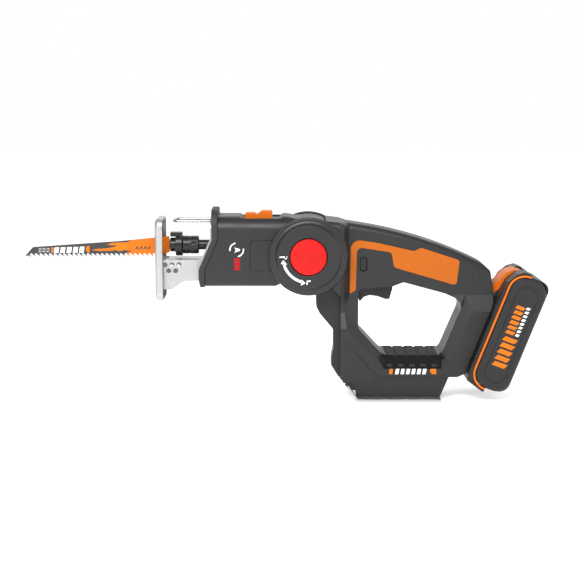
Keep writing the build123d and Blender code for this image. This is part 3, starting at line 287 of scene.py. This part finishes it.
PALE_GREY = finish_of("pale_grey_ink", (0.33, 0.33, 0.34), 0.5, vary=0.06, bump=0.08)
# painted shade for the body's parting grooves
SEAM_SHADE = finish_of("painted_seam_shade", (0.012, 0.012, 0.012), 0.75, vary=0.2, bump=0.05)

for row in frame["record"]["subparts"]:
    obj = frame["nodes"][row["node"]]
    obj.data.materials.clear()
    obj.data.materials.append(MATERIALS[row["material_slot"]])
    for polygon in obj.data.polygons:
        polygon.use_smooth = True
    obj.data.set_sharp_from_angle(angle=SHARP)


# ---- flat prints and small raised details, drawn as outlines ------------------------------------
def keep_piece(obj, material, body):
    """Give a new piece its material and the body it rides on."""
    obj.data.materials.append(material)
    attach(obj, body)


BARREL_FACE, FLAT_LOW, FLAT_HIGH = 28.87, 143.0, 150.0
SLOPE_BELOW, SLOPE_ABOVE = 0.03, 0.026


def barrel_left(z):
    """Left surface of the barrel, which is widest at mid height."""
    above, below = max(0.0, z - FLAT_HIGH), max(0.0, FLAT_LOW - z)
    return -BARREL_FACE + above * SLOPE_ABOVE + below * SLOPE_BELOW


def plate(name, outlines, y, thick, material, body, place=None):
    """Thin raised shapes on a side of the tool; outlines are lists of (x, z) points in mm.

    y is the surface they lie on, a number or a function of height, and they stand thick away
    from the centre plane."""
    place = place or (lambda a, b: (a, b))
    surface = y if callable(y) else (lambda z: y)
    outward = -1 if surface(150.0) < 0 else 1
    bm = bmesh.new()
    for outline in outlines:
        spots = [place(a, b) for a, b in outline]
        lower = [bm.verts.new((x * MM, (surface(z) - outward * SINK) * MM, z * MM))
                 for x, z in spots]
        upper = [bm.verts.new((x * MM, (surface(z) + outward * thick) * MM, z * MM))
                 for x, z in spots]
        bm.faces.new(lower)
        bm.faces.new(list(reversed(upper)))
        for i in range(len(spots)):
            j = (i + 1) % len(spots)
            bm.faces.new((lower[i], upper[i], upper[j], lower[j]))
    bmesh.ops.recalc_face_normals(bm, faces=bm.faces)
    bmesh.ops.triangulate(bm, faces=[f for f in bm.faces if len(f.verts) > 4])
    mesh = bpy.data.meshes.new(name)
    bm.to_mesh(mesh)
    bm.free()
    obj = bpy.data.objects.new(name, mesh)
    bpy.context.collection.objects.link(obj)
    keep_piece(obj, material, body)


def arc(cx, cz, radius, start, end, steps=24):
    """Points along an arc, angles in degrees from +X towards +Z."""
    points = []
    for i in range(steps + 1):
        a = math.radians(start + (end - start) * i / steps)
        points.append((cx + radius * math.cos(a), cz + radius * math.sin(a)))
    return points


def arc_band(cx, cz, radius, width, start, end, steps=24):
    """Closed outline of a curved stroke."""
    outer = arc(cx, cz, radius + width / 2, start, end, steps)
    inner = arc(cx, cz, radius - width / 2, end, start, steps)
    return outer + inner


def stroke(points, width):
    """Closed outlines of a polyline drawn with a flat pen, one quad per run."""
    quads = []
    for (ax, az), (bx, bz) in zip(points, points[1:]):
        length = math.hypot(bx - ax, bz - az)
        nx, nz = -(bz - az) / length * width / 2, (bx - ax) / length * width / 2
        quads.append([(ax + nx, az + nz), (bx + nx, bz + nz), (bx - nx, bz - nz),
                      (ax - nx, az - nz)])
    return quads


def slant_bar(x, z, width, height, lean):
    """Parallelogram with its lower left corner at x, z."""
    return [(x, z), (x + width, z), (x + width + lean, z + height), (x + lean, z + height)]


PIVOT = (-89.0, 144.0)

# two-ended arrow on the left pivot cover's flat ring, with a mark at each end
swing = [
    arc_band(*PIVOT, 24.8, 2.5, 197, 256, 20),
    [(-115.9, 137.6), (-109.7, 136.9), (-113.4, 141.2)],
    [(-95.6, 122.6), (-96.4, 116.4), (-91.9, 118.6)],
    [(-117.0, 143.5), (-109.6, 143.3), (-109.6, 145.2), (-117.0, 144.6)],
    [(-111.9, 145.0), (-110.2, 145.0), (-110.2, 142.2), (-111.9, 142.2)],
    slant_bar(-91.2, 117.2, 1.3, 4.0, 0.5),
    slant_bar(-90.2, 120.2, 3.2, 1.3, 0.3),
]
plate("swing_arrow", swing, -COVER_FACE, 0.12, WHITE_INK, "root")

# pointer between two arcs on the left of the barrel, and a red flag under it
MARK_CENTRE = (-158.9, 150.0)
mark = [arc_band(*MARK_CENTRE, 6.6, 1.2, start, start + 90, 12) for start in (100, -80)]
mark.append([(-161.4, 152.4), (-155.6, 150.6), (-155.6, 149.2), (-161.2, 147.2), (-159.6, 149.9)])
plate("mode_mark", mark, barrel_left, 0.1, WHITE_INK, "head")
flag = [(-161.6, 141.9), (-155.7, 141.9), (-155.7, 129.9), (-161.6, 129.9)]
plate("mode_flag", [flag], barrel_left, 0.1, RED_INK, "head")
flag_dots = [arc(-158.6, dot_z, 0.9, 0, 330, 11) for dot_z in (138.6, 133.0)]
plate("mode_flag_dots", flag_dots, barrel_left, 0.16, DARK_INK, "head")

# plain badge on the lower band, slanted pale bars between two orange end pieces, and a raised ring
# on the sole block
BADGE_LOW, BADGE_HIGH, BADGE_PITCH = 25.4, 32.8, 5.4
BADGE_TALL = BADGE_HIGH - BADGE_LOW
badge_bars = [slant_bar(-3.0 + BADGE_PITCH * i, BADGE_LOW, 3.4, BADGE_TALL, 1.4) for i in range(6)]
badge_ends = [
    [(-9.0, BADGE_LOW), (-5.6, BADGE_LOW), (-4.6, BADGE_HIGH), (-8.0, BADGE_HIGH)],
    [(31.4, 29.1), (33.6, BADGE_LOW), (38.0, BADGE_LOW), (38.0, BADGE_HIGH), (33.6, BADGE_HIGH)],
]
RING_CENTRE = (-20.6, 15.3)
rings = [arc_band(*RING_CENTRE, 4.7, 0.9, 0, 350, 30), arc_band(*RING_CENTRE, 2.2, 0.9, 40, 320)]
for side, sign in SIDES.items():
    plate(f"badge_bars_{side}", badge_bars, sign * BAND_FACE, 0.15, WHITE_INK, "root")
    plate(f"badge_ends_{side}", badge_ends, sign * BAND_FACE, 0.15, ORANGE_INK, "root")
    plate(f"moulded_ring_{side}", rings, sign * BLOCK_FACE, 0.2, MATERIALS["charcoal_plastic"],
          "root")

# fine parting lines in the body, drawn as dark strips of painted shade where shade falls in their
# grooves, and the small windows along the grip pad
BAND_SEAM = [(-56.4, 62.6), (-26.9, 29.6), (-20.3, 24.3), (-13.6, 22.5), (54.0, 22.5)]
REAR_SEAM = [(71.9, 136.2), (73.0, 118.0), (73.2, 108.5)]
WINDOW_LOW, WINDOW_HIGH = 33.1, 35.7
windows = []
for x in (-8.2 + 11.0 * i for i in range(5)):
    windows.append([(x - 3.1, WINDOW_LOW), (x + 3.1, WINDOW_LOW),
                    (x + 2.3, WINDOW_HIGH), (x - 2.3, WINDOW_HIGH)])
for side, sign in SIDES.items():
    # dark strips of painted groove shade along the parting lines
    plate(f"band_seam_shade_{side}", stroke(BAND_SEAM, 0.45), sign * (BLOCK_FACE + 0.02), 0.12,
          SEAM_SHADE, "root")
    plate(f"rear_seam_shade_{side}", stroke(REAR_SEAM, 0.4), sign * GRIP_FACE, 0.06, SEAM_SHADE, "root")
    plate(f"pad_windows_{side}", windows, sign * PAD_WINDOW_FACE, 0.1, PALE_GREY, "root")

# ---- blade graphics -----------------------------------------------------------------------------
FLAMES = [
    (-269.0, 156.05), (-269.4, 154.1), (-276.0, 154.1), (-284.5, 153.6), (-289.1, 151.8),
    (-283.1, 151.2), (-279.5, 151.5), (-281.6, 149.6), (-290.3, 148.2), (-298.8, 147.7),
    (-305.3, 146.3), (-296.1, 145.5), (-284.7, 145.8), (-280.0, 146.6), (-277.6, 145.2),
    (-270.4, 146.7), (-268.6, 147.0), (-268.6, 156.07),
]
DARK_TONGUES = [
    [(-270.8, 156.0), (-264.0, 156.3), (-268.0, 154.6), (-270.8, 154.2)],
    [(-270.8, 146.5), (-264.3, 145.4), (-267.6, 144.4), (-270.8, 143.6)],
]
blade_bars = [slant_bar(-342.2 + 6.3 * i, 143.7, 4.6, 5.4 + 0.2 * i, 1.1) for i in range(5)]
BLADE_BAR_ENDS = [
    [(-344.6, 143.7), (-343.2, 143.7), (-341.9, 149.1), (-344.4, 149.1)],
    [(-310.4, 146.6), (-307.9, 143.7), (-306.4, 143.7), (-306.4, 150.6), (-309.0, 150.6)],
]
small_bars = [slant_bar(-357.6 + 4.0 * i, 144.4, 3.0, 1.6, 0.3) for i in range(3)]
small_bars += [slant_bar(-357.2 + 4.0 * i, 147.0, 3.0, 1.4, 0.3) for i in range(3)]
tooth_sign = []
for x in (-260.6 + 4.0 * i for i in range(4)):
    tooth_sign += stroke([(x, 147.0), (x + 1.8, 150.2), (x + 2.6, 147.0)], 0.9)
BLADE_PRINTS = [                     # name, outlines, thickness, ink
    ("blade_flames", [FLAMES], 0.04, ORANGE_INK),
    ("blade_tongues", DARK_TONGUES, 0.08, DARK_INK),
    ("blade_bars", blade_bars, 0.08, WHITE_INK),
    ("blade_bar_ends", BLADE_BAR_ENDS, 0.08, ORANGE_INK),
    ("blade_panel", small_bars, 0.08, PALE_GREY),
    ("blade_tooth_sign", tooth_sign, 0.08, DARK_INK),
]
for side, sign in SIDES.items():
    for name, outlines, thick, ink in BLADE_PRINTS:
        plate(f"{name}_{side}", outlines, sign * BLADE_FACE, thick, ink, "plunger_group")

# ---- battery graphics, in the pack's own frame --------------------------------------------------
TILT = math.radians(68.8)            # slope of the pack's long axis
PACK = (107.3, 66.6)                 # centre of the pack's side face


def on_pack(out, up):
    """Point of the pack's side face, out from the tool and up along the pack."""
    return (PACK[0] + out * math.sin(TILT) + up * math.cos(TILT),
            PACK[1] - out * math.cos(TILT) + up * math.sin(TILT))


def pack_bar(out, up, width, height, lean):
    """Leaning bar with its lower inner corner at out, up."""
    return [(out, up), (out + lean, up + height), (out + lean + width, up + height),
            (out + width, up)]


BIG_LEAN, SMALL_LEAN = 2.2, 1.54
pack_bars = [pack_bar(-5.5, -32.5 + 6.6 * i, 13.0, 4.6, BIG_LEAN) for i in range(5)]
pack_bars += [pack_bar(-5.5, 1.5 + 5.2 * i, 8.4, 3.5, SMALL_LEAN) for i in range(6)]
PACK_PRINTS = [                      # name, outlines, thickness, ink
    ("pack_bars", pack_bars, 0.15, ORANGE_INK),
    ("pack_ticks", [pack_bar(4.9, 1.8 + 4.0 * i, 3.4, 2.4, 0.9) for i in range(8)], 0.15,
     WHITE_INK),
    ("pack_hint", [arc_band(-6.0, -40.0, 15.0, 0.35, 228, 262, 10)], 0.1, PALE_GREY),
]
for side, sign in SIDES.items():
    for name, outlines, thick, ink in PACK_PRINTS:
        plate(f"{name}_{side}", outlines, sign * PACK_FACE, thick, ink, "battery",
              on_pack)

# ---- stage, light and camera --------------------------------------------------------------------
floor_mat = bpy.data.materials.new("studio_floor")
floor_mat.use_nodes = True
floor_bsdf = floor_mat.node_tree.nodes["Principled BSDF"]
floor_bsdf.inputs["Base Color"].default_value = (0.93, 0.93, 0.93, 1.0)
floor_bsdf.inputs["Roughness"].default_value = 0.9
floor_bsdf.inputs["Emission Color"].default_value = (1.0, 1.0, 1.0, 1.0)
floor_bsdf.inputs["Emission Strength"].default_value = 0.5
FLOOR_REACH, FLOOR_GAP = 6.0, 0.0005
corners = [(x * FLOOR_REACH, y * FLOOR_REACH, 0) for x, y in ((-1, -1), (1, -1), (1, 1), (-1, 1))]
floor_mesh = bpy.data.meshes.new("studio_floor")
floor_mesh.from_pydata(corners, [], [(0, 1, 2, 3)])
floor = bpy.data.objects.new("studio_floor", floor_mesh)
floor.location.z = cad_low.z - FLOOR_GAP
floor.data.materials.append(floor_mat)
bpy.context.collection.objects.link(floor)

world = bpy.data.worlds.new("studio_world")
world.use_nodes = True
background = world.node_tree.nodes["Background"]
background.inputs["Color"].default_value = (1.0, 1.0, 1.0, 1.0)
# the room is white behind the tool and dimmer in front of it
direction = world.node_tree.nodes.new("ShaderNodeTexCoord")
across = world.node_tree.nodes.new("ShaderNodeSeparateXYZ")
glow = world.node_tree.nodes.new("ShaderNodeMapRange")
for socket, value in (("From Min", 0.3), ("From Max", 0.93), ("To Min", 0.55), ("To Max", 1.0)):
    glow.inputs[socket].default_value = value
world.node_tree.links.new(direction.outputs["Generated"], across.inputs[0])
world.node_tree.links.new(across.outputs["Y"], glow.inputs["Value"])
world.node_tree.links.new(glow.outputs[0], background.inputs["Strength"])
bpy.context.scene.world = world

TARGET = Vector((-0.105, 0.0, 0.1042))


def area_light(name, place, power, width, height):
    """Soft rectangular light aimed at the middle of the tool."""
    data = bpy.data.lights.new(name, "AREA")
    data.energy = power
    data.shape = "RECTANGLE"
    data.size = width
    data.size_y = height
    obj = bpy.data.objects.new(name, data)
    obj.location = place
    obj.rotation_euler = (TARGET - Vector(place)).to_track_quat("-Z", "Y").to_euler()
    bpy.context.collection.objects.link(obj)


area_light("key", (-0.3, -0.85, 0.85), 13.5, 0.9, 0.3)
area_light("front_fill", (-0.9, -1.1, 0.3), 1.4, 0.5, 0.5)
area_light("rim", (0.2, 0.9, 0.9), 3.0, 1.2, 0.4)
area_light("rear_side", (1.1, -0.3, 0.4), 4.0, 0.35, 0.9)

camera_data = bpy.data.cameras.new("camera")
camera_data.sensor_width = 36.0
camera_data.lens = 83.2
camera = bpy.data.objects.new("camera", camera_data)
ELEVATION = math.radians(8.5)
DISTANCE = 1.35
camera.location = TARGET + DISTANCE * Vector((0.0, -math.cos(ELEVATION), math.sin(ELEVATION)))
camera.rotation_euler = (math.radians(90) - ELEVATION, 0.0, 0.0)
bpy.context.collection.objects.link(camera)
bpy.context.scene.camera = camera
bpy.context.scene.view_settings.view_transform = "Standard"
